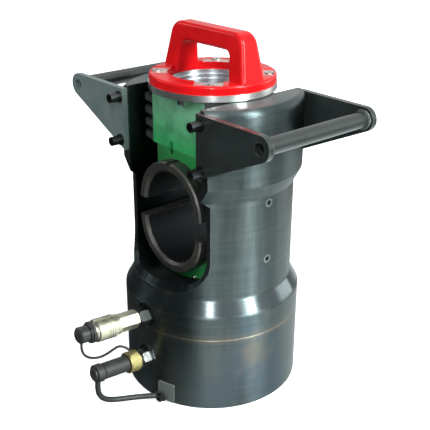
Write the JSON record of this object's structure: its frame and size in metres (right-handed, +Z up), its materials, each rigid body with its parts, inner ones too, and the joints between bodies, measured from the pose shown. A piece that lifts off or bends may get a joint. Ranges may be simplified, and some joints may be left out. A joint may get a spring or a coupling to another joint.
{
  "type": "hydraulic crimping head",
  "caption": "Hydraulic crimping head: U shaped steel yoke, half ring dies, green breech plug with a red handle, lifting bails and capped hose couplers.",
  "frame": {"origin": "centre of the bottom face that the head stands on", "axes": "+Z up along the ram, minus Y towards the hose couplers, +X towards the right-hand bail"},
  "size_m": [0.419, 0.3729, 0.527],
  "materials": {
    "blued_steel": "blackened forging steel, semi-gloss",
    "green_steel": "green enamel, semi-gloss",
    "red_casting": "signal red enamel, glossy",
    "bright_steel": "bright steel, satin",
    "chrome_steel": "hard chromed, polished",
    "black_steel": "blackened steel, satin",
    "dark_plate": "black enamel, satin",
    "spring_steel": "spring wire, satin",
    "zinc_yellow": "yellow zinc plate, satin",
    "brass": "brass, satin",
    "seal_rubber": "black rubber, matt",
    "black_plastic": "black plastic, satin"
  },
  "bodies": {
    "frame": {"anchor_bolt": "bright_steel", "anchor_plate": "black_steel", "bail_bolts": "black_steel", "bail_flat_washers": "black_steel", "bail_plate_left_front": "dark_plate", "bail_plate_left_rear": "dark_plate", "bail_plate_right_front": "dark_plate", "bail_plate_right_rear": "dark_plate", "bail_spring_washers": "black_steel", "bail_tube_left": "dark_plate", "bail_tube_right": "dark_plate", "bottom_cap": "blued_steel", "cap_lanyard": "seal_rubber", "cap_seal": "seal_rubber", "cap_strap": "seal_rubber", "gland_bearing_ring": "brass", "lanyard_eye": "black_steel", "lower_collar_nut": "brass", "lower_dust_cap": "seal_rubber", "lower_nipple": "bright_steel", "lower_poppet_spring": "spring_steel", "rod_seal": "seal_rubber", "side_plugs": "black_steel", "strap_eye": "seal_rubber", "strap_tab": "seal_rubber", "upper_adapter": "black_steel", "upper_coupler_body": "zinc_yellow", "upper_dust_plug": "black_plastic", "upper_lock_balls": "bright_steel", "upper_poppet_spring": "spring_steel", "upper_sleeve_spring": "spring_steel", "upper_snap_ring": "bright_steel", "wiper_ring": "seal_rubber", "yoke_body": "blued_steel"},
    "ram": {"ram": "chrome_steel", "lower_die_holder": "green_steel", "lower_holder_screws": "black_steel", "lower_die_keys": "black_steel", "release_spring": "spring_steel", "piston_seal": "seal_rubber", "piston_lower_bearing": "brass", "piston_upper_bearing": "brass"},
    "lower_die": {"lower_die": "blued_steel"},
    "release_button": {"release_button": "bright_steel"},
    "plug": {"breech_plug": "green_steel", "handle": "red_casting", "handle_screws": "bright_steel"},
    "upper_holder": {"upper_die_holder": "green_steel", "upper_die_keys": "black_steel", "swivel_stud": "black_steel", "latch_spring": "spring_steel"},
    "upper_die": {"upper_die": "blued_steel"},
    "latch_button": {"latch_button": "bright_steel"},
    "coupler_sleeve": {"upper_sleeve": "zinc_yellow"},
    "upper_poppet": {"upper_poppet": "bright_steel"},
    "lower_poppet": {"lower_poppet": "bright_steel"}
  },
  "joints": [
    {"name": "ram_slide", "type": "slide", "parent": "frame", "child": "ram", "axis": [0, 0, 1], "range_m": [0, 0.0277]},
    {"name": "lower_die_slide", "type": "slide", "parent": "ram", "child": "lower_die", "axis": [0, -1, 0], "range_m": [0, 0.165]},
    {"name": "release_press", "type": "slide", "parent": "ram", "child": "release_button", "axis": [0, 1, 0], "range_m": [0, 0.0025], "stiffness_N_per_m": 2000, "springref_m": -0.003, "deforming": ["release_spring"]},
    {"name": "plug_turn", "type": "hinge", "parent": "frame", "child": "plug", "pos_m": [0, 0, 0.4], "axis": [0, 0, 1], "range_deg": [0, 90]},
    {"name": "holder_swivel", "type": "hinge", "parent": "plug", "child": "upper_holder", "pos_m": [0, 0, 0.38], "axis": [0, 0, 1], "range_deg": [-90, 0]},
    {"name": "upper_die_slide", "type": "slide", "parent": "upper_holder", "child": "upper_die", "axis": [0, -1, 0], "range_m": [0, 0.165]},
    {"name": "latch_press", "type": "slide", "parent": "upper_holder", "child": "latch_button", "axis": [0, 1, 0], "range_m": [0, 0.004], "stiffness_N_per_m": 2000, "springref_m": -0.003, "deforming": ["latch_spring"]},
    {"name": "sleeve_slide", "type": "slide", "parent": "frame", "child": "coupler_sleeve", "axis": [0, 0.9954, -0.0958], "range_m": [0, 0.004], "stiffness_N_per_m": 3000, "springref_m": -0.004, "deforming": ["upper_sleeve_spring"]},
    {"name": "upper_poppet_press", "type": "slide", "parent": "frame", "child": "upper_poppet", "axis": [0, 0.9954, -0.0958], "range_m": [0, 0.004], "stiffness_N_per_m": 2500, "springref_m": -0.003, "deforming": ["upper_poppet_spring"]},
    {"name": "lower_poppet_press", "type": "slide", "parent": "frame", "child": "lower_poppet", "axis": [0, 0.9954, -0.0958], "range_m": [0, 0.004], "stiffness_N_per_m": 2500, "springref_m": -0.003, "deforming": ["lower_poppet_spring"]}
  ],
  "couplings": [
    {"joint": "holder_swivel", "follows": "plug_turn", "ratio": -1}
  ]
}
